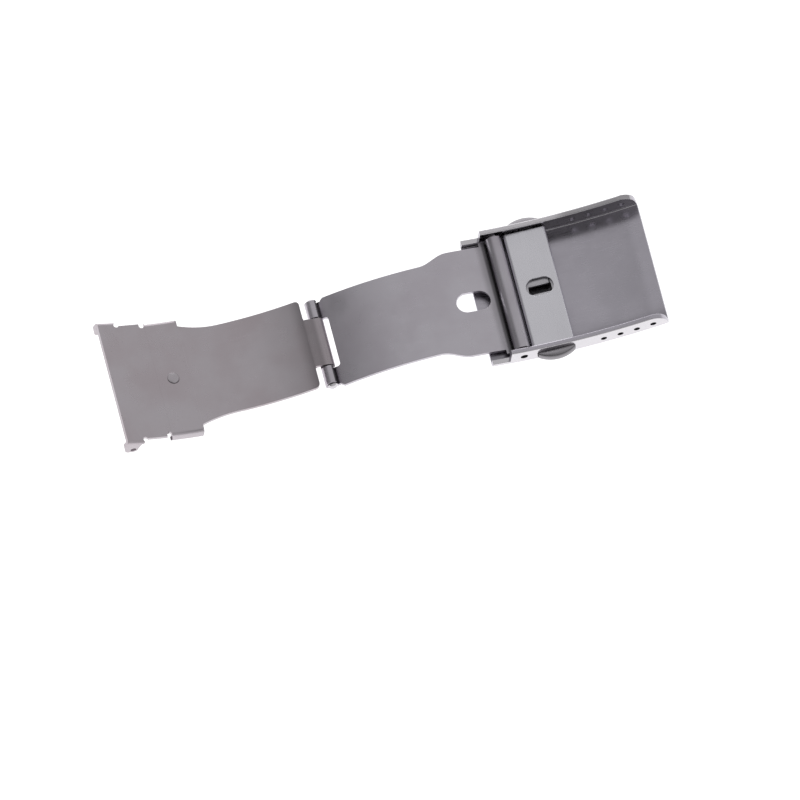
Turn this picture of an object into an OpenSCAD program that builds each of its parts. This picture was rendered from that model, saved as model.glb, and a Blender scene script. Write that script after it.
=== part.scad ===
// Fold-over deployant clasp with two push buttons, opened out flat.
// Row frame in mm: X runs from the strap ears to the free end of the cover,
// Y across the clasp, Z up towards the wrist side. Z = 0 is the table.

/* [Cover] */
// Width over the two side walls
cover_w = 22; // [21:0.1:24]
// Sheet thickness of the cover
cover_t = 0.8; // [0.7:0.05:0.85]
// Radius of the cover's curve through the hinge axis
cover_r = 74; // [72:1:78]
// Length of the cover left of the hinge, along the curve
cover_left = 4.9; // [4.7:0.1:5.2]
// Length of the cover right of the hinge, along the curve
cover_right = 23.2; // [22.6:0.1:26]
// Height of the side walls above the curve
rim_up = 1.75; // [1.5:0.05:1.85]
// Depth of the outer face below the curve
face_down = 2.65; // [2.6:0.05:2.8]
// Size of the bevel along both sides of the outer face
bevel = 1; // [0.6:0.1:1]
// Corner radius at the free end of the side walls
end_round = 2.5; // [1.5:0.1:2.8]
// Diameter of the adjustment holes
adjust_d = 1; // [0.8:0.1:1.2]
// Distance from the hinge to the first adjustment hole
adjust_start = 12.9; // [12.6:0.1:13.4]
// Pitch of the adjustment holes
adjust_pitch = 2.7; // [2.3:0.1:2.8]

/* [Blades] */
// Sheet thickness of both folding blades
blade_t = 0.65; // [0.6:0.05:0.7]
// Distance between the two hinge axes
hinge_span = 30.3; // [30.1:0.1:30.5]
// Radius of the outer blade's curve
outer_r = 45; // [43:0.5:48]
// Narrow width of the outer blade
outer_w = 15.4; // [14.8:0.1:15.8]
// Length of the slot in the outer blade
outer_slot_l = 5.4; // [5:0.1:5.6]
// Width of the slot in the outer blade
outer_slot_w = 3.35; // [3.2:0.05:3.8]
// Length of the inner blade from the fold hinge to its ears
inner_len = 34.1; // [33.9:0.1:34.3]
// Radius of the inner blade's curve
inner_r = 43; // [42:0.5:44]
// Width of the inner blade beside the fold hinge
inner_w = 15.2; // [14.4:0.1:15.4]
// Width over the strap ears
ear_w = 21.5; // [20.8:0.1:21.5]
// Depth of the strap bar holes below the inner blade
ear_drop = 2.45; // [2.2:0.05:2.5]
// Diameter of the strap bar holes
ear_d = 0.9; // [0.7:0.05:1]
// Height of the side flanges of the inner blade
flange_h = 1.7; // [1.2:0.1:1.8]

/* [Hinges] */
// Diameter of the pin in the cover
cover_pin_d = 1.2; // [1.1:0.05:1.3]
// Diameter of the pin between the blades
fold_pin_d = 0.9; // [0.8:0.05:0.95]
// Radial clearance of both rolled barrels on their pins
barrel_play = 0.05; // [0.03:0.01:0.08]
// Width of the rolled tongue in the fold hinge
tongue_w = 8.2; // [7.6:0.1:8.3]

/* [Latch] */
// Sheet thickness of the lock plate
lock_t = 0.45; // [0.4:0.05:0.5]
// Length of the slot in the lock plate
lock_slot_l = 4.4; // [4.2:0.1:4.6]
// Width of the slot in the lock plate
lock_slot_w = 3; // [2.9:0.1:3.4]
// Length of each push button
button_l = 5.9; // [5.4:0.1:6]
// Standing height of each push button out of the wall
button_out = 1.35; // [1.1:0.05:1.5]
// Travel of each push button
button_travel = 0.75; // [0.7:0.01:0.78]
// Diameter of the catch stud's head
stud_head_d = 2.4; // [2.2:0.05:2.5]
// Wire diameter of the two springs
spring_wire = 0.2; // [0.16:0.02:0.22]
// Turns of each spring
spring_turns = 8; // [6:1:8]

/* [Hidden] */
$fn = 72;
big = 60;

// Pose of the parts as they lie on the table, in degrees
cover_slope = 5.73;
rest_tilt = 1.3;
outer_fall = 3.47;
// Folded pose of the two blades against the cover, in degrees
outer_folded = 15;
inner_folded = 11.5;
folded_sweep = 180 + outer_fall - outer_folded;

// Cover
half_w = cover_w / 2;
in_w = half_w - cover_t;
arc_cx = cover_r * sin(cover_slope);
arc_cz = cover_r * cos(cover_slope);
inner_face = face_down - cover_t;
rim_chamfer = 0.12;
crease = 0.15;
low_wall = 0.95;
tall_start = 2.15;
lip_l = 1.5;
lip_deg = 14;
adjust_drop = 0.2;
adjust_n = 4;

// Hinges
pin1_r = cover_pin_d / 2;
bore1_r = pin1_r + barrel_play;
roll1_r = bore1_r + blade_t / 2;
pin2_r = fold_pin_d / 2;
bore2_r = pin2_r + barrel_play;
roll2_r = bore2_r + blade_t / 2;
barrel_half = in_w - 0.4;
knuckle_half = 7.25;
tongue_gap = 0.2;
notch_back = 0.85;
roll_deg = 280;
seam_deg = 268;
knuckle_deg = 238;
notch_r = 0.45;
root_r = 0.42;
head_gap = 0.1;

// Outer blade curve, tangent to both rolled barrels
oa = outer_r + roll1_r;
ob = outer_r + roll2_r;
oq = (oa * oa - ob * ob + hinge_span * hinge_span) / (2 * hinge_span);
outer_cx = -oq;
outer_cz = -sqrt(oa * oa - oq * oq);
outer_a1 = atan2(-outer_cz, oq);
outer_a2 = atan2(-outer_cz, oq - hinge_span);
outer_slot_at = 5.5;

// Inner blade curve and the goose-neck of its tongue
inner_up = 1.8;
inner_cx = -inner_len / 2;
inner_cz = inner_up + sqrt(inner_r * inner_r - inner_cx * inner_cx);
neck_deg = 8;
neck_r = 1.2;
neck_d = [-cos(neck_deg), sin(neck_deg)];
neck_n = [sin(neck_deg), cos(neck_deg)];
neck_b0 = (roll2_r - neck_r) * neck_n;
neck_w = neck_b0 - [inner_cx, inner_cz];
neck_wd = neck_w * neck_d;
neck_s = -neck_wd - sqrt(neck_wd * neck_wd - neck_w * neck_w + pow(inner_r + neck_r, 2));
neck_c = neck_b0 + neck_s * neck_d;
neck_end = atan2(inner_cz - neck_c[1], inner_cx - neck_c[0]);
neck_u = -(neck_c[0] + neck_r * cos(neck_end));
ear_half = ear_w / 2;
ear_l = 2.8;
ear_low = 1.1;
tab_half = in_w - 0.25;
flange_u0 = inner_len - 12.7;
flange_u1 = inner_len - 7.4;
fillet_l = 6.2;
fillet_w = 1.1;
ear_hole_in = 0.95;
ear_lobe = 0.8;
ear_lobe_out = 0.55;
// Depth by which a joined stretch of sheet reaches into its neighbour, and its inset there
lap = 0.1;
inset = 0.01;

// Latch, in the cover's own frame
lock_x = 5.2;
lock_half = 3.25;
lock_more = 0.45;
lock_r = 0.65;
lock_top = 0.36;
lock_wide = in_w - 0.3;
lock_leg = lock_wide - 1.5;
jaw_top = lock_top - lock_t - 0.1;
jaw_t = 0.6;
jaw_edge = 0.5;
jaw_lead = 0.15;
jaw_funnel = 0.5;
jaw_deep = 1.9;
slide_half = 2.5;
arm_in = 1.75;
slide_out = lock_wide - 1.9;
block_in = in_w - 1;
button_h = 1.6;
button_mid = -0.65;
window_play = 0.1;
neck_stud_r = 0.42;
button_bow = 0.9;
button_front = 0.85;
stud_off = 0.7;

// Folded place of the inner blade, which sets where the stud stands
fold_x = hinge_span * cos(outer_folded);
fold_z = hinge_span * sin(outer_folded);
fold_cx = fold_x + inner_cx * cos(inner_folded) - inner_cz * sin(inner_folded);
fold_cz = fold_z + inner_cx * sin(inner_folded) + inner_cz * cos(inner_folded);
stud_lean = asin((lock_x + stud_off - fold_cx) / (inner_r + 2));
stud_phi = stud_lean - inner_folded;
stud_face_z = fold_cz - (inner_r + blade_t / 2) * cos(stud_lean);
neck_top = (stud_face_z - jaw_top) / cos(stud_lean) - 0.12;
neck_bottom = neck_top + jaw_t + 0.22;
stud_l = neck_bottom + 0.5;

// Rest pose in the row frame
drop_deg = outer_fall - rest_tilt;
rest_slope = cover_slope + rest_tilt;
hinge_z = face_down + cover_r - cover_r * cos(rest_slope);
fold_rest_x = -hinge_span * cos(drop_deg);
fold_rest_z = -hinge_span * sin(drop_deg);
tip_r = inner_r + blade_t / 2 + stud_l;
tip_x = inner_cx + tip_r * sin(stud_phi);
tip_z = inner_cz - tip_r * cos(stud_phi);
tip_h = norm([tip_x, tip_z]);
rise_deg = asin((-hinge_z - fold_rest_z) / tip_h) - atan2(tip_z, -tip_x);
fold_sweep = folded_sweep + rise_deg - rest_tilt + inner_folded;
right_deg = cover_right / cover_r * 180 / PI - rest_slope;
right_x = cover_r * sin(rest_slope) + (cover_r + face_down) * sin(right_deg);
ear_x = -(inner_len - ear_hole_in);
ear_face = inner_cz - sqrt(pow(inner_r - blade_t / 2, 2) - pow(ear_x - inner_cx, 2));
ear_z = ear_face - ear_drop;
lobe_x = ear_x - ear_lobe_out;
left_lobe = fold_rest_x + lobe_x * cos(rise_deg) + ear_z * sin(rise_deg) - ear_lobe;
hinge_x = -(right_x + left_lobe) / 2;

spring_r = 0.36;
spring_z = lock_top - lock_t - 0.07 - spring_r - spring_wire / 2;
spring_y0 = slide_out - 0.02 - spring_wire / 2;
spring_y1 = jaw_edge + jaw_deep + 0.02 + spring_wire / 2;
spring_pitch = (spring_y0 - spring_y1) / spring_turns;

// Least gap of a spring's wire to itself, measured on points of its centre line
function coil(t) = [spring_r * cos(360 * t), spring_pitch * t, spring_r * sin(360 * t)];
spring_gap = min([for (i = [0:64], j = [40:88])
    norm(coil(i / 64) - coil((i + j) / 64))]) - spring_wire;

echo(hinge = [hinge_x, hinge_z], fold = [hinge_x + fold_rest_x, hinge_z + fold_rest_z]);
echo(sweeps = [folded_sweep, fold_sweep], rise = rise_deg, drop = drop_deg);
echo(stud = [stud_phi, stud_lean, stud_face_z, stud_l, neck_top, neck_bottom]);
echo(spring_gap = spring_gap, spring_y = [spring_y0, spring_y1], lock = [lock_x, jaw_top]);

function cover_a(s) = -90 - cover_slope + s / cover_r * 180 / PI;
function cover_pt(s, d) = [arc_cx + (cover_r + d) * cos(cover_a(s)), 0,
                           arc_cz + (cover_r + d) * sin(cover_a(s))];
function inner_a(u) = -90 + asin((inner_len / 2 - u) / inner_r);
function ease(t) = (1 - cos(180 * min(1, max(0, t)))) / 2;

// Frames of the three linked bodies in the row frame
module cover_frame() {
    translate([hinge_x, 0, hinge_z])
        rotate([0, rest_tilt, 0])
            children();
}

module outer_frame() {
    translate([hinge_x, 0, hinge_z])
        rotate([0, -drop_deg, 0])
            children();
}

module inner_frame() {
    translate([hinge_x + fold_rest_x, 0, hinge_z + fold_rest_z])
        rotate([0, rise_deg, 0])
            children();
}

// Sweep of a section (radius, -Y) about a Y axis, angles from +X towards +Z
module arc_sweep(cx, cz, a0, a1) {
    translate([cx, 0, cz])
        rotate([90, 0, 0])
            rotate([0, 0, a0])
                rotate_extrude(angle = a1 - a0)
                    children();
}

module arc_part(cx, cz, r0, r1, a0, a1, y0, y1) {
    arc_sweep(cx, cz, a0, a1)
        translate([r0, -y1])
            square([r1 - r0, y1 - y0]);
}

// Flat outline in XZ, centred on Y = 0
module side(w) {
    rotate([90, 0, 0])
        linear_extrude(height = w, center = true)
            children();
}

module across(r, w) {
    rotate([90, 0, 0])
        cylinder(r = r, h = w, center = true);
}

module slot2d(l, w, r) {
    square([l - 2 * r, w], center = true);
    square([l, w - 2 * r], center = true);
    for (x = [-1, 1])
        for (y = [-1, 1])
            translate([x * (l / 2 - r), y * (w / 2 - r)])
                circle(r = r);
}

// Cover: U section with bevelled outer corners
module cover_section() {
    k = crease;
    top = cover_r - rim_up;
    c = rim_chamfer;
    half = [[top + c, half_w],
            [cover_r + face_down - bevel, half_w],
            [cover_r + face_down, half_w - bevel]];
    inner = [[cover_r + inner_face, in_w - k],
             [cover_r + inner_face - k, in_w],
             [top + c, in_w],
             [top, in_w + c],
             [top, half_w - c]];
    polygon(concat(
        [for (p = half) p],
        [for (i = [2:-1:0]) [half[i][0], -half[i][1]]],
        [for (i = [4:-1:0]) [inner[i][0], -inner[i][1]]],
        inner));
}

module cover_shell() {
    a_end = cover_a(cover_right);
    corner_r = cover_r - rim_up + end_round;
    corner_a = a_end - asin(end_round / corner_r);
    lip_at = cover_pt(-cover_left + lip_l, face_down);
    lip_tilt = -(cover_a(-cover_left + lip_l) + 90) + lip_deg;
    color([0.72, 0.71, 0.73])
        cover_frame()
            difference() {
                arc_sweep(arc_cx, arc_cz, cover_a(-cover_left), a_end)
                    cover_section();
                arc_part(arc_cx, arc_cz, cover_r - rim_up - 1, cover_r + low_wall,
                         cover_a(-cover_left) - 1, cover_a(-tall_start),
                         -half_w - 1, half_w + 1);
                difference() {
                    arc_part(arc_cx, arc_cz, cover_r - rim_up - 1, corner_r,
                             corner_a, a_end + 1, -half_w - 1, half_w + 1);
                    translate([arc_cx + corner_r * cos(corner_a), 0,
                               arc_cz + corner_r * sin(corner_a)])
                        across(end_round, big);
                }
                translate(lip_at)
                    rotate([0, lip_tilt, 0])
                        translate([-5, -big / 2, -5])
                            cube([5, big, 5]);
                across(pin1_r, big);
                for (i = [0:adjust_n - 1])
                    translate(cover_pt(adjust_start + i * adjust_pitch, adjust_drop))
                        across(adjust_d / 2, big);
                for (m = [0, 1])
                    mirror([0, m, 0])
                        translate([lock_x - button_l / 2 - window_play, in_w - 0.2,
                                   button_mid - button_h / 2 - window_play / 2])
                            cube([button_l + 2 * window_play, cover_t + 1,
                                  button_h + 1.5 * window_play]);
            }
}

module lock_outline(g, r) {
    x0 = -lock_half - lock_more + g;
    x1 = lock_half - g;
    translate([x0, -5])
        square([x1 - x0, 5 + lock_top - g - r]);
    translate([x0 + r, -5])
        square([x1 - x0 - 2 * r, 5 + lock_top - g]);
    for (x = [x0 + r, x1 - r])
        translate([x, lock_top - g - r])
            circle(r = r);
}

module lock_plate() {
    color([0.75, 0.74, 0.77])
        cover_frame()
            difference() {
                intersection() {
                    translate([lock_x, 0, 0])
                        side(2 * lock_wide)
                            difference() {
                                lock_outline(0, lock_r);
                                lock_outline(lock_t, lock_r - lock_t);
                            }
                    translate([arc_cx, 0, arc_cz])
                        across(cover_r + inner_face, big);
                }
                for (m = [0, 1])
                    mirror([0, m, 0])
                        translate([lock_x - lock_half - 2, lock_leg, -10])
                            cube([2 * lock_half + 4, 10, 10 + lock_top - lock_t]);
                translate([lock_x, 0, -1])
                    linear_extrude(height = 3)
                        slot2d(lock_slot_l, lock_slot_w, lock_slot_w / 2 - 0.02);
            }
}

module cover_hinge_pin() {
    l = cover_w - 0.6;
    c = 0.12;
    color([0.66, 0.65, 0.68])
        cover_frame()
            rotate([90, 0, 0]) {
                cylinder(r = pin1_r, h = l - 2 * c, center = true);
                for (m = [0, 1])
                    mirror([0, 0, m])
                        translate([0, 0, l / 2 - c])
                            cylinder(r1 = pin1_r, r2 = pin1_r - c, h = c);
            }
}

// Push button, drawn on the near side
module button() {
    front = half_w + button_out;
    rc = (pow(button_l / 2, 2) + pow(button_bow, 2)) / (2 * button_bow);
    rh = button_front;
    head_in = half_w - 0.25;
    z0 = button_mid - button_h / 2;
    jaw_z0 = jaw_top - jaw_t;
    difference() {
        union() {
            intersection() {
                translate([lock_x, -(front - rc), z0])
                    cylinder(r = rc, h = button_h);
                translate([lock_x, -(front - rh), button_mid])
                    rotate([0, 90, 0])
                        cylinder(r = rh, h = big, center = true);
                translate([lock_x - button_l / 2, -front - 1, z0 - 1])
                    cube([button_l, front + 1 - head_in, button_h + 2]);
            }
            translate([lock_x - button_l / 2, -head_in, z0])
                cube([button_l, head_in - block_in, jaw_top - 0.06 - z0]);
            translate([lock_x - button_l / 2 - 0.25, -in_w + 0.1, z0])
                cube([button_l + 0.5, 0.8, jaw_top - 0.06 - z0]);
        }
        translate([lock_x - 1.5, -lock_wide, jaw_z0])
            cube([3, 2, 2]);
    }
}

// Hooked slide, drawn on the near side; its hook grips from the far side
module latch_slide(lead) {
    jaw_z0 = jaw_top - jaw_t;
    arm_end = jaw_edge + jaw_deep;
    translate([lock_x, 0, jaw_z0])
        difference() {
            union() {
                translate([-1.5, -lock_wide, 0])
                    cube([3, lock_wide - slide_out, jaw_t]);
                translate([-slide_half, -block_in, 0])
                    cube([2 * slide_half, block_in - slide_out, jaw_t]);
                translate([-slide_half, -slide_out, 0])
                    cube([slide_half - arm_in, slide_out + arm_end, jaw_t]);
                translate([-arm_in, jaw_edge, 0])
                    cube([2 * arm_in - 0.15, jaw_deep, jaw_t]);
            }
            translate([-arm_in - 0.1, jaw_edge, jaw_t - lead])
                rotate([45, 0, 0])
                    translate([0, -1, 0])
                        cube([2 * arm_in + 1, 2, 1]);
        }
}

module near_button() {
    color([0.70, 0.69, 0.72])
        cover_frame()
            button();
}

module far_button() {
    color([0.70, 0.69, 0.72])
        cover_frame()
            mirror([0, 1, 0])
                button();
}

module near_latch_slide() {
    color([0.60, 0.59, 0.62])
        cover_frame()
            latch_slide(jaw_lead);
}

module far_latch_slide() {
    color([0.60, 0.59, 0.62])
        cover_frame()
            translate([2 * lock_x, 0, 0])
                rotate([0, 0, 180])
                    latch_slide(jaw_funnel);
}

// Coil spring: one unbroken helical tube
module spring_tube() {
    n = 8 * spring_turns;
    m = 6;
    lead = atan2(spring_pitch, 2 * PI * spring_r);
    pts = [for (i = [0:n])
        let (a = 360 * i / 8,
             er = [cos(a), 0, sin(a)],
             t = [-sin(a) * cos(lead), sin(lead), cos(a) * cos(lead)],
             b = cross(t, er),
             c = coil(i / 8))
        for (j = [0:m - 1])
            c + spring_wire / 2 * (cos(360 * j / m) * er + sin(360 * j / m) * b)];
    walls = [for (i = [0:n - 1], j = [0:m - 1])
        let (k = (j + 1) % m)
        for (f = [[i * m + j, (i + 1) * m + j, i * m + k],
                  [(i + 1) * m + j, (i + 1) * m + k, i * m + k]])
            f];
    cap0 = [for (j = [0:m - 1]) j];
    cap1 = [for (j = [m - 1:-1:0]) n * m + j];
    polyhedron(points = pts, faces = concat(walls, [cap0, cap1]), convexity = 10);
}

module near_spring() {
    color([0.62, 0.61, 0.64])
        cover_frame()
            translate([lock_x, -spring_y0, spring_z])
                spring_tube();
}

module far_spring() {
    color([0.62, 0.61, 0.64])
        cover_frame()
            translate([lock_x, spring_y1, spring_z])
                spring_tube();
}

// Half width of the outer blade at distance u from the cover hinge
function outer_half(u) = u < 2.5 ? barrel_half
    : outer_w / 2 + (tab_half - 0.85 - outer_w / 2) * (1 - ease((u - 7.8) / 4.7));

module outer_outline() {
    corner = hinge_span - 1.4;
    us = concat([-1, 2.49], [for (i = [0:12]) i == 0 ? 2.5 : 7.4 + 0.45 * i], [corner - 0.5]);
    edge = concat([for (u = us) [-u, outer_half(u)]],
                  [[-corner, outer_w / 2 - 0.35],
                   [-corner, knuckle_half - 0.02],
                   [-hinge_span - 3, knuckle_half - 0.02]]);
    difference() {
        polygon(concat(edge, [for (i = [len(edge) - 1:-1:0]) [edge[i][0], -edge[i][1]]]));
        translate([-outer_slot_at, 0])
            slot2d(outer_slot_l, outer_slot_w, outer_slot_w / 2 - 0.02);
        notch = hinge_span - bore2_r - blade_t - notch_back;
        notch_w = tongue_w + 2 * tongue_gap + 0.04;
        translate([-hinge_span - 5, -notch_w / 2])
            square([hinge_span + 5 - notch - notch_r, notch_w]);
        translate([-notch - notch_r - 0.5, 0])
            slot2d(2 * notch_r + 1, notch_w, notch_r);
    }
}

module outer_blade() {
    thin = blade_t / 2 - inset;
    lap_a = lap / outer_r * 180 / PI;
    color([0.57, 0.55, 0.58])
        outer_frame() {
            intersection() {
                arc_part(outer_cx, outer_cz, outer_r - thin, outer_r + thin,
                         outer_a1 - lap_a, outer_a2 + lap_a, -barrel_half + 0.02, barrel_half - 0.02);
                translate([0, 0, -10])
                    linear_extrude(height = 20)
                        outer_outline();
            }
            arc_part(0, 0, bore1_r, bore1_r + blade_t,
                     outer_a1 - 180, outer_a1 - 180 + seam_deg, -barrel_half, barrel_half);
            for (m = [0, 1])
                mirror([0, m, 0])
                    arc_part(-hinge_span, 0, bore2_r, bore2_r + blade_t,
                             outer_a2 - 180 - knuckle_deg, outer_a2 - 180,
                             tongue_w / 2 + tongue_gap, knuckle_half);
        }
}

module fold_hinge_pin() {
    head_r = 0.85;
    head_h = 0.5;
    head_y = knuckle_half + head_gap;
    cap_r = (head_r * head_r + head_h * head_h) / (2 * head_h);
    color([0.66, 0.65, 0.68])
        outer_frame()
            translate([-hinge_span, 0, 0])
                rotate([90, 0, 0]) {
                    cylinder(r = pin2_r, h = 2 * head_y, center = true);
                    for (m = [0, 1])
                        mirror([0, 0, m])
                            intersection() {
                                translate([0, 0, head_y + head_h - cap_r])
                                    sphere(r = cap_r);
                                translate([0, 0, head_y])
                                    cylinder(r = head_r, h = head_h + 1);
                            }
                }
}

// Half width of the inner blade at distance u from the fold hinge
function inner_half(u) =
    inner_w / 2 + fillet_w * pow(max(0, u - flange_u0 + fillet_l) / fillet_l, 2);

// Bent section (radius, -Y) of the inner blade with legs of the given height
module bent_section(h, leg) {
    r0 = inner_r - blade_t / 2;
    translate([r0, -h + blade_t])
        square([blade_t, 2 * h - 2 * blade_t]);
    for (m = [0, 1])
        mirror([0, m]) {
            translate([r0 + blade_t, h - blade_t])
                square([leg - blade_t, blade_t]);
            intersection() {
                translate([r0 + blade_t, h - blade_t])
                    circle(r = blade_t);
                translate([r0, h - blade_t])
                    square([blade_t, blade_t]);
            }
        }
}

module inner_outline() {
    r = 0.7;
    n = 12;
    core = tab_half - blade_t - 0.1;
    right = -neck_u - 0.05;
    root = tongue_w / 2 - 0.02;
    edge = concat([[1, root]],
                  [for (i = [5:-1:0]) [right + root_r - root_r * cos(18 * i),
                                       root + root_r - root_r * sin(18 * i)]],
                  [for (i = [0:5]) [right - r + r * cos(18 * i),
                                    inner_w / 2 - r + r * sin(18 * i)]],
                  [for (i = [0:n - 1])
                      let (u = flange_u0 - fillet_l + fillet_l * i / n) [-u, inner_half(u)]],
                  [[-flange_u0 + 0.02, inner_half(flange_u0)]],
                  [[-flange_u0 + 0.02, tab_half - 0.3],
                   [-flange_u0 - 0.2, tab_half - 0.3],
                   [-flange_u0 - 0.2, core],
                   [-inner_len + 0.2, core]]);
    polygon(concat(edge, [for (i = [len(edge) - 1:-1:0]) [edge[i][0], -edge[i][1]]]));
}

module ear_side() {
    low = ear_face - ear_low;
    polygon(concat(
        [[-inner_len - 0.5, low],
         [-inner_len - 0.5, ear_face + 3],
         [-inner_len + 3, ear_face + 3],
         [-inner_len + 3, low],
         [-inner_len + 2.3, low]],
        [for (i = [0:6]) [ear_x + ear_lobe * cos(15 * i), ear_z - ear_lobe * sin(15 * i)]],
        [for (i = [6:12]) [lobe_x + ear_lobe * cos(15 * i), ear_z + 0.1 - ear_lobe * sin(15 * i)]]));
}

module inner_blade() {
    thin = blade_t / 2 - inset;
    mid = blade_t / 2 - inset / 2;
    lap_a = lap / inner_r * 180 / PI;
    a_left = inner_a(inner_len);
    a_ear = inner_a(inner_len - ear_l);
    a_f1 = inner_a(flange_u1);
    a_f0 = inner_a(flange_u0);
    a_neck = neck_end - 180;
    color([0.57, 0.55, 0.58])
        inner_frame()
            difference() {
                union() {
                    intersection() {
                        arc_part(inner_cx, inner_cz, inner_r - thin, inner_r + thin,
                                 a_left, a_neck + lap_a, -tab_half, tab_half);
                        translate([0, 0, -20])
                            linear_extrude(height = 60)
                                inner_outline();
                    }
                    arc_part(inner_cx, inner_cz, inner_r - mid, inner_r + mid,
                             a_ear - lap_a, a_f1 + lap_a, -tab_half + 0.01, tab_half - 0.01);
                    arc_sweep(inner_cx, inner_cz, a_f1, a_f0)
                        bent_section(tab_half, flange_h);
                    intersection() {
                        arc_sweep(inner_cx, inner_cz, a_left, a_ear)
                            bent_section(ear_half, 3.8);
                        side(big)
                            ear_side();
                    }
                    arc_part(neck_c[0], neck_c[1], neck_r - blade_t / 2, neck_r + blade_t / 2,
                             90 - neck_deg, neck_end, -tongue_w / 2, tongue_w / 2);
                    side(tongue_w - 0.04)
                        polygon([(bore2_r + inset) * neck_n - lap * neck_d,
                                 (bore2_r + blade_t - inset) * neck_n - lap * neck_d,
                                 (bore2_r + blade_t - inset) * neck_n + (neck_s + lap) * neck_d,
                                 (bore2_r + inset) * neck_n + (neck_s + lap) * neck_d]);
                    arc_part(0, 0, bore2_r, bore2_r + blade_t,
                             -180 - neck_deg, 90 - neck_deg, -tongue_w / 2, tongue_w / 2);
                }
                translate([ear_x, 0, ear_z])
                    across(ear_d / 2, big);
                for (m = [0, 1])
                    mirror([0, m, 0]) {
                        translate([-inner_len + ear_l + 0.3, tab_half + 0.15, -2])
                            cylinder(r = 0.4, h = 8);
                        translate([-flange_u1 - 0.3, tab_half - 0.35, -2])
                            cylinder(r = 0.4, h = 8);
                        translate([-flange_u1 - 0.7, tab_half - 0.35, -2])
                            cube([0.8, 2, 8]);
                    }
                stud_frame()
                    cylinder(r = 0.9, h = 3, center = true);
            }
}

// Frame of the catch stud: origin in the middle of the sheet, -Z away from the wrist
module stud_frame() {
    translate([inner_cx, 0, inner_cz])
        rotate([0, -stud_phi, 0])
            translate([0, 0, -inner_r])
                children();
}

module catch_stud() {
    t2 = blade_t / 2;
    tail = 0.15;
    tail_r = (0.81 + tail * tail) / (2 * tail);
    rh = stud_head_d / 2;
    color([0.70, 0.69, 0.72])
        inner_frame()
            stud_frame() {
                translate([0, 0, -t2])
                    cylinder(r = 0.9, h = blade_t);
                intersection() {
                    translate([0, 0, t2 + tail - tail_r])
                        sphere(r = tail_r);
                    translate([0, 0, t2])
                        cylinder(r = 0.9, h = 1);
                }
                translate([0, 0, -t2 - 0.35])
                    cylinder(r = 1.45, h = 0.35);
                translate([0, 0, -t2 - neck_top])
                    cylinder(r = 1.05, h = neck_top - 0.35);
                translate([0, 0, -t2 - neck_bottom])
                    cylinder(r = neck_stud_r, h = neck_bottom - neck_top);
                translate([0, 0, -t2 - neck_bottom - 0.22])
                    cylinder(r = rh, h = 0.22);
                translate([0, 0, -t2 - stud_l])
                    cylinder(r1 = rh - 0.45, r2 = rh, h = stud_l - neck_bottom - 0.22);
            }
}

cover_shell();
lock_plate();
cover_hinge_pin();
near_spring();
far_spring();
near_button();
near_latch_slide();
far_button();
far_latch_slide();
outer_blade();
fold_hinge_pin();
inner_blade();
catch_stud();
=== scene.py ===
import math

import bmesh
import bpy
from mathutils import Matrix, Vector


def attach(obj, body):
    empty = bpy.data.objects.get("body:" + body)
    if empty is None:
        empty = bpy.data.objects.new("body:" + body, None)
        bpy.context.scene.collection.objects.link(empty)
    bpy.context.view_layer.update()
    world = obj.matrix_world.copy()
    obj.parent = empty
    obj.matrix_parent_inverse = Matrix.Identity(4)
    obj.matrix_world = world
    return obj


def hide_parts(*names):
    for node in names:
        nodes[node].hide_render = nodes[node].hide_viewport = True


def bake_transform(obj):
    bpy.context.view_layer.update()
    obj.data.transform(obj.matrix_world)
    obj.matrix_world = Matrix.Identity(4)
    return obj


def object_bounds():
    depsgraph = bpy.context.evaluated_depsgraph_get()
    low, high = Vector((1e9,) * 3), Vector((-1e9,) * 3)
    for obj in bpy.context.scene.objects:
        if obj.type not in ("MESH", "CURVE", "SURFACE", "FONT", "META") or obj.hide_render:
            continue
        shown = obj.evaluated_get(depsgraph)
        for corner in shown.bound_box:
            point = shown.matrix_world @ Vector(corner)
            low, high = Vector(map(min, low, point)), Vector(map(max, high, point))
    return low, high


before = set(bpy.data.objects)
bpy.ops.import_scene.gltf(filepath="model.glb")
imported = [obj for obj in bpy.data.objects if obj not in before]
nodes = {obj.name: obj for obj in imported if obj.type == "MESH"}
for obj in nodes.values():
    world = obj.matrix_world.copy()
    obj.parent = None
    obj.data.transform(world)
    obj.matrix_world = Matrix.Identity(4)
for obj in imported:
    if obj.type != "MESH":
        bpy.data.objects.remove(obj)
cad_lo, cad_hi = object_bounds()
scene = bpy.context.scene

# Lengths are in metres in the row's frame. Those marked mm are in the cover's own frame, whose origin is
# the middle of the cover hinge and which leans by COVER_TILT.
MM = 1000
HINGE = Vector((0.0205597, 0.0, 0.0032063))
COVER_TILT = Matrix.Rotation(math.radians(1.3), 3, "Y")

# Camera: the photograph's viewing angle, found on the hole and hinge positions of the clasp
YAW, ELEV, ROLL = math.radians(8.21916), math.radians(66.52421), math.radians(-6.00572)
IMAGE = 800  # width and height of the photograph in pixels
PX_PER_MM = 6.34540
HINGE_PX = (507.8256, 294.6606)  # where the cover hinge lies in the photograph
CAMERA_AWAY = 5217.65  # mm
SENSOR = 36.0

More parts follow.
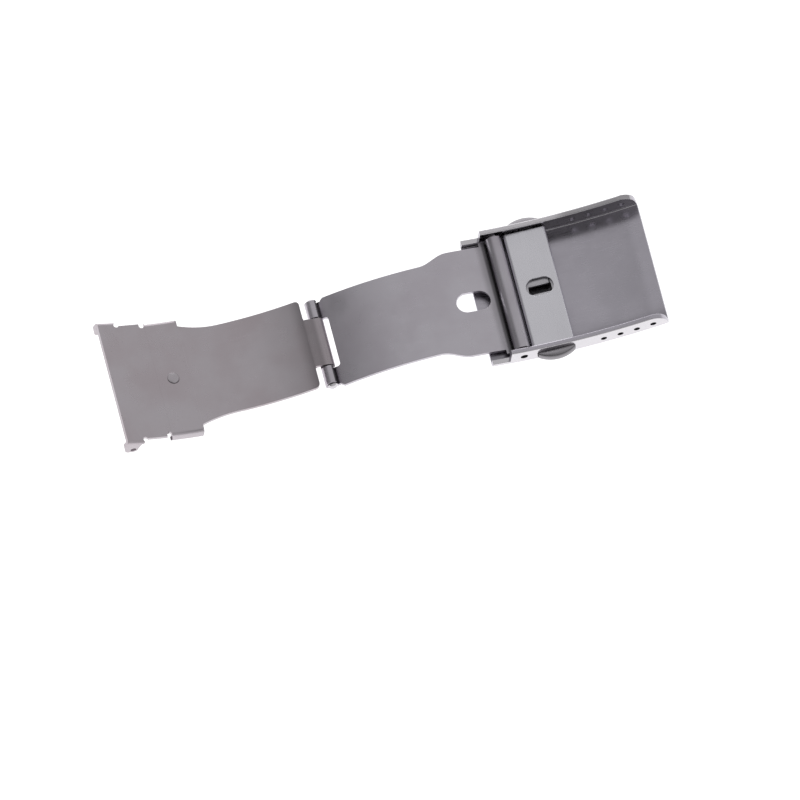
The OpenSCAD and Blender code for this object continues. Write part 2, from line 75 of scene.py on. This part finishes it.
back = Vector((-math.sin(YAW) * math.cos(ELEV), -math.cos(YAW) * math.cos(ELEV), math.sin(ELEV)))
flat = Vector((math.cos(YAW), -math.sin(YAW), 0.0))
rise = back.cross(flat)
right = flat * math.cos(ROLL) + rise * math.sin(ROLL)
up = rise * math.cos(ROLL) - flat * math.sin(ROLL)
aside, above = ((px - IMAGE / 2) / PX_PER_MM for px in HINGE_PX)
eye = back * CAMERA_AWAY - right * aside + up * above
cam = bpy.data.objects.new("camera", bpy.data.cameras.new("camera"))
scene.collection.objects.link(cam)
cam.location = HINGE + (COVER_TILT @ eye) / MM
cam.rotation_mode = "QUATERNION"
axes = [COVER_TILT @ right, COVER_TILT @ up, COVER_TILT @ back]
cam.rotation_quaternion = Matrix(axes).transposed().to_quaternion()
cam.data.sensor_width = SENSOR
cam.data.lens = PX_PER_MM * CAMERA_AWAY / IMAGE * SENSOR
cam.data.clip_start, cam.data.clip_end = 1.0, 20.0
scene.camera = cam
scene.view_settings.view_transform = "Standard"
scene.view_settings.look = "None"


class Tree:
    """Short calls for building a node tree."""

    def __init__(self, tree):
        self.t = tree
        tree.nodes.clear()

    def node(self, kind, **sets):
        n = self.t.nodes.new(kind)
        for k, v in sets.items():
            setattr(n, k, v)
        return n

    def put(self, socket, value):
        """Link value to the socket, or write it there when it is a plain one."""
        if isinstance(value, bpy.types.NodeSocket):
            self.t.links.new(value, socket)
        elif value is not None:
            socket.default_value = value

    def math(self, op, a, b=None, c=None):
        n = self.node("ShaderNodeMath", operation=op)
        for s, v in zip(n.inputs, (a, b, c)):
            self.put(s, v)
        return n.outputs[0]

    def product(self, first, *more):
        for value in more:
            first = self.math("MULTIPLY", first, value)
        return first

    def invert(self, mask):
        return self.math("SUBTRACT", 1.0, mask)

    def only(self, mask, factor):
        """The factor where the mask is 1, and no change where it is 0."""
        return self.math("MULTIPLY_ADD", self.math("SUBTRACT", factor, 1.0), mask, 1.0)

    def distance(self, dx, dy):
        return self.math("SQRT", self.math("ADD", self.math("POWER", dx, 2.0), self.math("POWER", dy, 2.0)))

    def span(self, value, lo, hi, to_lo=0.0, to_hi=1.0, smooth=True):
        n = self.node("ShaderNodeMapRange", interpolation_type="SMOOTHSTEP" if smooth else "LINEAR")
        for s, v in zip(n.inputs, (value, lo, hi, to_lo, to_hi)):
            self.put(s, v)
        return n.outputs[0]

    def mix(self, f, a, b):
        n = self.node("ShaderNodeMix", data_type="RGBA")
        self.put(n.inputs[0], f)
        self.put(n.inputs[6], a)
        self.put(n.inputs[7], b)
        return n.outputs[2]

    def ramp(self, value, points):
        """A curve through (at, factor) points."""
        out = points[0][1]
        for (a, fa), (b, fb) in zip(points, points[1:]):
            out = self.math("ADD", self.span(value, a, b, 0.0, fb - fa), out)
        return out

    def xyz(self, vector):
        n = self.node("ShaderNodeSeparateXYZ")
        self.put(n.inputs[0], vector)
        return n.outputs

    def dot(self, a, b):
        n = self.node("ShaderNodeVectorMath", operation="DOT_PRODUCT")
        self.put(n.inputs[0], a)
        self.put(n.inputs[1], b)
        return n.outputs["Value"]

    def noise(self, at, scale, stretch=(1, 1, 1), detail=2.0, rough=0.5):
        m = self.node("ShaderNodeMapping")
        self.put(m.inputs[0], at)
        m.inputs[3].default_value = stretch
        n = self.node("ShaderNodeTexNoise")
        self.put(n.inputs["Vector"], m.outputs[0])
        n.inputs["Scale"].default_value = scale
        n.inputs["Detail"].default_value = detail
        n.inputs["Roughness"].default_value = rough
        return n.outputs[0]


GRAIN_DEPTH = 0.00002  # of the grain's bump at strength 1
RECESS_REACH = 0.0007  # how far the painted shade in the gaps looks for a wall
RECESS_RAYS, EDGE_RAYS = 6, 4
SIDE_FACES = (0.44, 0.56)  # |normal y| of the faces that look to the sides
EDGE_HIGHLIGHT_SHARE, EDGE_HIGHLIGHT_TONE = 0.5, 1.35  # how far a painted edge highlight goes towards how much brighter a tone


def steel(name, tone, rough, grain=(1, 1, 1), grain_scale=6000, grain_bump=0.1, cloud=0.05, smudge=0.05,
          warm=(1.0, 1.0, 1.0), polished=None, edge=0.06, along=None, spots=(), ring=None, gap_shade_tone=0.35,
          form=None):
    """Steel sheet: tone and roughness with clouds, smudges and a brushed or blasted grain.
    polished = (tone, roughness) of the faces that look to the sides, where they are finished apart;
    edge = how far edges are rounded in the shading, in mm; these edges are painted brighter as a highlight;
    along = painted light and shade: how the tone of the faces that look up changes along X;
    spots = dull marks (x, y, radius, factor);
    ring = (x, y, radius) of a peened rivet end with a groove round it, painted dark as a shadow, most on one
    side;
    gap_shade_tone = tone of the painted shade left in the gaps;
    form(t, place, normal, side) = more of the finish, with painted light and shade: (side, colour factor,
    height)."""
    mat = bpy.data.materials.new(name)
    mat.use_nodes = True
    t = Tree(mat.node_tree)
    out = t.node("ShaderNodeOutputMaterial")
    bsdf = t.node("ShaderNodeBsdfPrincipled")
    t.put(out.inputs[0], bsdf.outputs[0])
    bsdf.inputs["Metallic"].default_value = 1.0

    where = t.node("ShaderNodeTexCoord")
    at = where.outputs["Object"]
    place = t.xyz(at)
    x, y = place[0], place[1]
    normal = t.xyz(where.outputs["Normal"])
    big = t.noise(at, 130, detail=3.0)
    blotch = t.noise(at, 420, stretch=(1.0, 0.6, 1.0), detail=4.0, rough=0.6)
    fine = t.noise(at, grain_scale, stretch=grain, detail=3.0, rough=0.65)

    dull = tuple(c * (1 - cloud) * w for c, w in zip(tone, warm)) + (1.0,)
    bright = tuple(c * (1 + cloud) for c in tone) + (1.0,)
    colour = t.mix(t.span(big, 0.3, 0.7), dull, bright)
    roughness = t.math("ADD", t.span(blotch, 0.25, 0.75, rough - smudge, rough + smudge),
                       t.span(fine, 0.3, 0.7, -0.04, 0.04))
    side = t.span(t.math("ABSOLUTE", normal[1]), *SIDE_FACES)
    factors = []
    shape = None
    if form:
        side, factor, shape = form(t, place, normal, side)
        factors.append(factor)
    bump_by = grain_bump
    if polished:
        shine_tone, shine_rough = polished
        colour = t.mix(side, colour, tuple(shine_tone) + (1.0,))
        gloss = t.span(blotch, 0.25, 0.75, shine_rough * 0.7, shine_rough * 1.4)
        roughness = t.math("MULTIPLY_ADD", side, t.math("SUBTRACT", gloss, roughness), roughness)
        bump_by = t.span(side, 0.0, 1.0, grain_bump, grain_bump * 0.15, smooth=False)

    # Painted light and shade along the piece, dull marks, and the groove of the rivet with a painted shadow
    # on one side
    if along:
        # Painted light and shade on the faces that look up, by position along X
        factors.append(t.only(t.span(normal[2], 0.05, 0.3), t.ramp(x, along)))
    for sx, sy, sr, f in spots:
        away = t.distance(t.math("SUBTRACT", x, sx), t.math("SUBTRACT", y, sy))
        wavy = t.math("MULTIPLY_ADD", t.math("SUBTRACT", blotch, 0.5), sr, away)
        factors.append(t.span(wavy, sr * 0.4, sr * 1.3, f, 1.0))
    height = fine
    if ring:
        rx, ry, rr = ring
        dx, dy = t.math("SUBTRACT", x, rx), t.math("SUBTRACT", y, ry)
        away = t.distance(dx, dy)
        groove = t.product(t.span(away, rr * 0.86, rr), t.span(away, rr * 1.22, rr * 1.05))
        shadow_side = t.math("ADD", t.product(dx, -0.3 / rr), t.product(dy, -0.95 / rr))
        # Painted shadow in the groove, darkest on one side
        factors.append(t.invert(t.product(groove, t.span(shadow_side, -0.5, 0.75, 0.1, 0.86))))
        height = t.math("MULTIPLY_ADD", groove, -2.5, fine)

    # Painted shade in the gaps, and edges that are rounded in the shading and painted brighter as a highlight
    recess = t.node("ShaderNodeAmbientOcclusion")
    recess.samples = RECESS_RAYS
    recess.inputs["Distance"].default_value = RECESS_REACH
    # Painted shade: the colour darkens where ambient occlusion finds a wall near
    factors.append(t.span(recess.outputs["AO"], 0.1, 0.65, gap_shade_tone, 1.0))
    shade = t.node("ShaderNodeVectorMath", operation="SCALE")
    t.put(shade.inputs[0], colour)
    t.put(shade.inputs["Scale"], t.product(*factors))
    soft = t.node("ShaderNodeBevel")
    soft.samples = EDGE_RAYS
    soft.inputs[0].default_value = edge / MM
    like = t.dot(soft.outputs[0], t.node("ShaderNodeNewGeometry").outputs["Normal"])
    # Painted highlight: where the rounded normal turns from the surface, the colour goes brighter
    edge_highlight = t.product(t.span(like, 0.98, 0.80), EDGE_HIGHLIGHT_SHARE)
    colour = t.mix(edge_highlight, shade.outputs[0], tuple(min(1.0, c * EDGE_HIGHLIGHT_TONE) for c in tone) + (1.0,))
    t.put(bsdf.inputs["Base Color"], colour)
    t.put(bsdf.inputs["Roughness"], roughness)

    bump = t.node("ShaderNodeBump")
    bump.inputs["Distance"].default_value = GRAIN_DEPTH
    t.put(bump.inputs["Strength"], bump_by)
    t.put(bump.inputs["Height"], height)
    t.put(bump.inputs["Normal"], soft.outputs[0])
    if shape is not None:
        bow = t.node("ShaderNodeBump")
        bow.inputs["Distance"].default_value = 1.0
        bow.inputs["Strength"].default_value = 1.0
        t.put(bow.inputs["Height"], shape)
        t.put(bow.inputs["Normal"], soft.outputs[0])
        t.put(bump.inputs["Normal"], bow.outputs[0])
    t.put(bsdf.inputs["Normal"], bump.outputs[0])
    return mat


WALL_INSIDE = (0.01012, 0.01018)  # |y| where the side walls begin
BAND_MIDDLE = (0.029607, 0.07665)  # x and z of the centre of the cover's curve
BAND_TOP, BAND_FOOT = (0.07315, 0.07322), (0.07480, 0.07475)  # radii round the row of adjustment holes
BAND_START, BAND_END = (0.0190, 0.0192), (0.0424, 0.0422)  # x of the ends of that row
HOLE_SHADE = 0.85
FLOOR_FALLS_FROM = 0.0060  # |y| where the floor starts to fall
FLOOR_FALL = -23.0  # height = fall x distance squared


def cover_form(t, place, normal, side):
    """Polished rims, painted shade in the holes of the near wall, painted light and shade on the rims and on
    the floor near the walls, and a floor that falls a little towards the walls.
    """
    x, y, z = place
    across = t.math("ABSOLUTE", y)
    near, far = t.span(y, 0.001, -0.001), t.span(y, -0.001, 0.001)
    wall = t.span(across, *WALL_INSIDE)
    top = t.span(normal[2], 0.5, 0.7)
    radius = t.distance(t.math("SUBTRACT", x, BAND_MIDDLE[0]), t.math("SUBTRACT", z, BAND_MIDDLE[1]))
    in_hole = t.product(t.span(radius, *BAND_TOP), t.span(radius, *BAND_FOOT), t.span(x, *BAND_START),
                        t.span(x, *BAND_END), t.invert(side), wall)
    # Painted shade: the bores of the holes in the near wall are darkened
    holes = t.invert(t.product(in_hole, near, HOLE_SHADE))

    rim = t.product(wall, top, t.math("MAXIMUM", far, t.span(x, 0.0190, 0.0180)))
    side = t.math("MAXIMUM", side, t.product(rim, t.invert(in_hole)))
    # Painted shade: the far rim darkens towards its right end
    far_rim_shade = t.only(rim, t.ramp(x, [(0.0300, 1.0), (0.0330, 0.62)]))
    # Painted light and shade across the near rim: darker at its outer edge, lighter at its inner edge as a
    # highlight
    near_rim_light = t.ramp(y, [(-0.0110, 0.82), (-0.0108, 1.0), (-0.01045, 1.0), (-0.0102, 1.3)])
    near_rim_light = t.only(t.product(wall, near, top, t.span(x, 0.0190, 0.0194)), near_rim_light)

    inside = t.product(t.span(normal[2], 0.3, 0.6), t.invert(wall))
    # Painted reflection on the floor: darker near both side walls, and painted lighter towards its end
    foot = t.product(t.ramp(y, [(-0.0099, 0.70), (-0.0076, 1.0)]),
                     t.ramp(x, [(0.0412, 1.0), (0.0427, 1.16)]),
                     t.ramp(y, [(0.0074, 1.0), (0.0090, 0.72)]))
    fall = t.math("MAXIMUM", t.math("SUBTRACT", across, FLOOR_FALLS_FROM), 0.0)
    fall = t.product(t.math("POWER", fall, 2.0), FLOOR_FALL)
    return side, t.product(holes, near_rim_light, far_rim_shade, t.only(inside, foot)), t.product(fall, inside)


def button_painted_shade(t, place, normal, side):
    """Painted shade: the pressed front of a button and the curve up to its top are darker than its flat top.
    """
    return side, t.ramp(normal[2], [(-0.6, 0.52), (0.2, 0.60), (0.6, 0.42), (0.9, 0.42), (0.97, 1.0)]), None


# The rivet end of the stud, in the top of the inner blade
stud = nodes["catch_stud"].data
peak = max(v.co.z for v in stud.vertices)
caps = [p for p in stud.polygons if p.normal.z > 0.9 and p.center.z > peak - 0.0003]
share = sum(p.area for p in caps)
rivet = (sum(p.center.x * p.area for p in caps) / share, sum(p.center.y * p.area for p in caps) / share)
RIVET_GROOVE = (rivet[0] + 0.00014, rivet[1] - 0.00010, 0.00084)

BLADE = (0.51, 0.487, 0.53)
STRAP = (0.462, 0.430, 0.458)
WALL = (0.64, 0.62, 0.65)
# Painted shade along the top of the outer blade: dark in the slit beside the fold hinge, then darker at the
# root of the cover hinge
OUTER_PAINTED_SHADE = [(-0.00930, 1.0), (-0.00915, 0.2), (-0.00865, 0.2), (-0.0085, 1.0),
              (0.0171, 1.0), (0.0182, 0.7), (0.0186, 0.25), (0.0191, 0.12), (0.0194, 0.9)]
# Painted shade along the top of the inner blade: darker on the tongue that turns down into the fold hinge
INNER_PAINTED_SHADE = [(-0.0138, 1.0), (-0.0110, 0.60), (-0.0104, 0.56), (-0.0096, 0.84)]
FINISH = {
    "cover_shell": steel("cover_steel", (0.458, 0.437, 0.487), 0.31, grain=(0.03, 1, 1), grain_bump=0.05,
                         smudge=0.03, polished=(WALL, 0.09), edge=0.1, gap_shade_tone=0.6, form=cover_form),
    # The lock plate is painted lighter towards its end, as a highlight
    "lock_plate": steel("plate_steel", (0.68, 0.67, 0.715), 0.26, grain=(1, 0.03, 1), grain_scale=3000,
                        cloud=0.02, smudge=0.03, edge=0.12, gap_shade_tone=0.6, along=[(0.0285, 1.0), (0.0291, 1.12)]),
    "cover_hinge_pin": steel("pin_steel", (0.62, 0.60, 0.63), 0.18),
    "near_button": steel("button_steel", (0.46, 0.44, 0.47), 0.28, cloud=0.03, grain_bump=0.04,
                         form=button_painted_shade),
    "near_latch_slide": steel("slide_steel", (0.50, 0.49, 0.52), 0.30),
    "near_spring": steel("spring_steel", (0.55, 0.54, 0.57), 0.22),
    "outer_blade": steel("blade_steel", BLADE, 0.33, grain=(0.04, 1, 1), grain_scale=3000, grain_bump=0.03,
                         warm=(1.01, 0.99, 1.0), along=OUTER_PAINTED_SHADE, spots=[(-0.0060, 0.0056, 0.0022, 0.88)]),
    "inner_blade": steel("strap_steel", STRAP, 0.33, grain=(0.04, 1, 1), grain_scale=3000, grain_bump=0.03,
                         warm=(1.02, 0.98, 0.98), along=INNER_PAINTED_SHADE, ring=RIVET_GROOVE),
    "catch_stud": steel("stud_steel", STRAP, 0.2, cloud=0.04, grain_bump=0.2, grain_scale=2500),
}
SAME = {"far_button": "near_button", "far_latch_slide": "near_latch_slide", "far_spring": "near_spring",
        "fold_hinge_pin": "cover_hinge_pin"}
for name, obj in nodes.items():
    mat = FINISH[SAME.get(name, name)]
    if not obj.material_slots:
        obj.data.materials.append(mat)
    for s in obj.material_slots:
        s.material = mat


def cut(name, y, away):
    """The CAD mesh of a node without what lies beyond y, on the side that away points to."""
    bm = bmesh.new()
    bm.from_mesh(nodes[name].data)
    bmesh.ops.bisect_plane(bm, geom=bm.verts[:] + bm.edges[:] + bm.faces[:], plane_co=(0, y, 0),
                           plane_no=(0, away, 0), clear_outer=True)
    return bm


def as_piece(bm, mesh_name, name, finish, crease):
    """The mesh as a smooth object, with its edges sharp above the crease angle in degrees."""
    mesh = bpy.data.meshes.new(mesh_name)
    bm.to_mesh(mesh)
    bm.free()
    mesh.polygons.foreach_set("use_smooth", [True] * len(mesh.polygons))
    mesh.set_sharp_from_angle(angle=math.radians(crease))
    mesh.materials.append(FINISH[finish])
    obj = bpy.data.objects.new(name, mesh)
    scene.collection.objects.link(obj)
    return obj


def button(side, name):
    """A push button: the inner block as it is, and a head whose front swells both ways like a pillow.
    Lengths in mm."""
    middle_x, middle_z = 5.2, -0.65
    half_long, half_tall = 2.95, 0.8
    wall, stands_out, sunk = 11.0, 1.35, 0.3  # outer face of the wall, the head beyond it and its foot in it
    fall_x, fall_z, curve_tall = 0.9, 0.45, 0.83  # how far the front falls back to its ends and edges
    nx, nz = 30, 16
    bm = cut(name, side * (wall - sunk) / MM, side)
    bow = (half_long ** 2 + fall_x ** 2) / (2 * fall_x)

    def at(x, z, y):
        return bm.verts.new(HINGE + COVER_TILT @ Vector((middle_x + x, side * y, middle_z + z)) / MM)

    def front(x, z):
        back_x = bow - math.sqrt(bow ** 2 - x * x)
        back_z = fall_z * (1 - math.sqrt(1 - (z / curve_tall) ** 2))
        return wall + stands_out - back_x - back_z

    xs = [half_long * math.sin(math.pi * (i / nx - 0.5)) for i in range(nx + 1)]
    zs = [half_tall * math.sin(math.pi * (j / nz - 0.5)) for j in range(nz + 1)]
    grid = [[at(x, z, front(x, z)) for z in zs] for x in xs]
    loop = [(i, 0) for i in range(nx)] + [(nx, j) for j in range(nz)]
    loop += [(nx - i, nz) for i in range(nx)] + [(0, nz - j) for j in range(nz)]
    foot = [at(xs[i], zs[j], wall - sunk) for i, j in loop]
    for i in range(nx):
        for j in range(nz):
            bm.faces.new((grid[i][j], grid[i + 1][j], grid[i + 1][j + 1], grid[i][j + 1]))
    for k, (i, j) in enumerate(loop):
        a, b = loop[(k + 1) % len(loop)]
        bm.faces.new((grid[i][j], foot[k], foot[(k + 1) % len(loop)], grid[a][b]))
    bmesh.ops.recalc_face_normals(bm, faces=bm.faces[:])
    piece = as_piece(bm, name + "_head", name + "_pillow", "near_button", 32)
    round_off = piece.modifiers.new("round", "BEVEL")
    round_off.width, round_off.segments = 0.00012, 3
    round_off.limit_method, round_off.angle_limit = "ANGLE", math.radians(50)
    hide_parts(name)
    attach(piece, "near_latch" if side < 0 else "far_latch")


def spring(name):
    """A coil spring that the two slides squeeze from its ends, cut at its middle into a half for each end."""
    ys = [v.co.y for v in nodes[name].data.vertices]
    low, high = min(ys), max(ys)
    mid = (low + high) / 2
    for body, tip in (("near_latch", low), ("far_latch", high)):
        bm = cut(name, mid, mid - tip)
        bmesh.ops.holes_fill(bm, edges=[e for e in bm.edges if e.is_boundary])
        half = as_piece(bm, name + "_half", name + "_to_" + body, "near_spring", 60)
        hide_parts(name)
        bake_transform(half)


button(-1, "near_button")
button(1, "far_button")
spring("near_spring")
spring("far_spring")

# Floor: a white light table, brighter than the object, as in the photograph. From below it is clear.
FLOOR_HALF, FLOOR_GAP = 1.5, 0.00003
mesh = bpy.data.meshes.new("floor")
corners = [(-FLOOR_HALF, -FLOOR_HALF, 0), (FLOOR_HALF, -FLOOR_HALF, 0),
           (FLOOR_HALF, FLOOR_HALF, 0), (-FLOOR_HALF, FLOOR_HALF, 0)]
mesh.from_pydata(corners, [], [(0, 1, 2, 3)])
floor = bpy.data.objects.new("floor", mesh)
scene.collection.objects.link(floor)
floor.location.z = cad_lo.z - FLOOR_GAP
mat = bpy.data.materials.new("light_table")
mat.use_nodes = True
t = Tree(mat.node_tree)
bsdf = t.node("ShaderNodeBsdfPrincipled")
bsdf.inputs["Base Color"].default_value = (0.5, 0.5, 0.5, 1)
bsdf.inputs["Roughness"].default_value = 0.9
bsdf.inputs["Emission Color"].default_value = (1, 1, 1, 1)
bsdf.inputs["Emission Strength"].default_value = 1.0
under = t.node("ShaderNodeMixShader")
t.put(under.inputs[0], t.node("ShaderNodeNewGeometry").outputs["Backfacing"])
t.put(under.inputs[1], bsdf.outputs[0])
t.put(under.inputs[2], t.node("ShaderNodeBsdfTransparent").outputs[0])
t.put(t.node("ShaderNodeOutputMaterial").inputs[0], under.outputs[0])
mesh.materials.append(mat)

# Light: a white tent with a dark opening towards the photographer, dimmer to the left and brightest low
# at the back. The camera itself sees plain white.
OPENING = (0.03, -0.394, 0.918)
world = bpy.data.worlds.new("studio")
world.use_nodes = True
scene.world = world
t = Tree(world.node_tree)
ray = t.node("ShaderNodeTexCoord").outputs["Generated"]
ray_x, ray_y = t.xyz(ray)[:2]
tent = t.span(t.dot(ray, OPENING), 0.86, 0.965, 0.64, 0.10)
left = t.span(ray_x, -0.62, -0.10, 0.42, 1.0)
horizon = t.span(ray_y, 0.74, 0.92, 0.0, 1.2)
light = t.math("ADD", t.product(tent, left), horizon)
seen = t.node("ShaderNodeLightPath").outputs["Is Camera Ray"]
strength = t.math("MULTIPLY_ADD", seen, t.invert(light), light)
bg = t.node("ShaderNodeBackground")
t.put(bg.inputs["Strength"], strength)
bg.inputs["Color"].default_value = (1, 1, 1, 1)
t.put(t.node("ShaderNodeOutputWorld").inputs[0], bg.outputs[0])
